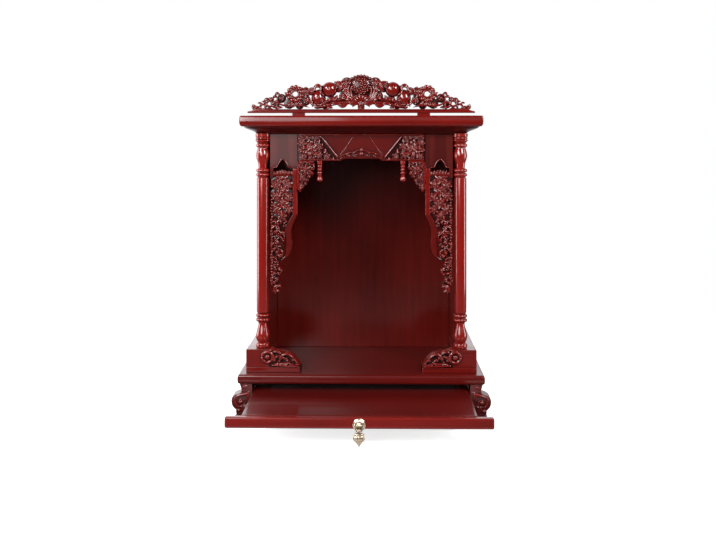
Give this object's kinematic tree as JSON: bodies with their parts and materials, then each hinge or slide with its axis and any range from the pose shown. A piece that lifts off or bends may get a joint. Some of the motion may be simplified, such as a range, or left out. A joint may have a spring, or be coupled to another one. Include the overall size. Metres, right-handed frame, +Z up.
{
  "type": "household altar cabinet",
  "caption": "Lacquered wooden altar niche with turned columns, carved frets, an openwork crest, scroll feet and a slide-out offering tray with a brass drop pull.",
  "frame": {"origin": "centre of the footprint of the whole rest pose, on the surface that the feet stand on", "axes": "+Z up, -Y out of the open front (the tray slides out along -Y), +X to the right as seen from the front"},
  "size_m": [0.441, 0.428, 0.582],
  "materials": {
    "red_lacquer": "glossy red mahogany lacquer over carved wood",
    "dark_lacquer": "glossy dark red lacquer on the inner faces and back",
    "brass": "polished cast brass, pale, a little dulled in the hollows"
  },
  "bodies": {
    "cabinet": {"deck_board": "red_lacquer", "back_panel": "dark_lacquer", "side_wall_right": "dark_lacquer", "side_wall_left": "dark_lacquer", "cap_board": "red_lacquer", "cap_moulding": "red_lacquer", "column_right": "red_lacquer", "column_left": "red_lacquer", "plinth_block_right": "red_lacquer", "plinth_block_left": "red_lacquer", "side_fret_right": "red_lacquer", "side_fret_left": "red_lacquer", "lintel": "red_lacquer", "bracket_right": "red_lacquer", "bracket_left": "red_lacquer", "pendant_right": "red_lacquer", "pendant_left": "red_lacquer", "crest": "red_lacquer", "foot_front_right": "red_lacquer", "foot_front_left": "red_lacquer", "foot_back_right": "red_lacquer", "foot_back_left": "red_lacquer", "back_apron": "dark_lacquer", "tray_runner_right": "dark_lacquer", "tray_runner_left": "dark_lacquer"},
    "tray": {"tray_plate": "red_lacquer", "tray_rail": "red_lacquer", "pull_rosette": "brass"},
    "drop": {"pull_drop": "brass"}
  },
  "joints": [
    {"name": "tray_slide", "type": "slide", "parent": "cabinet", "child": "tray", "axis": [0, -1, 0], "range_m": [-0.149, 0]},
    {"name": "drop_swing", "type": "hinge", "parent": "tray", "child": "drop", "pos_m": [0, -0.21, 0.028], "axis": [-1, 0, 0], "range_deg": [-5, 80]}
  ]
}
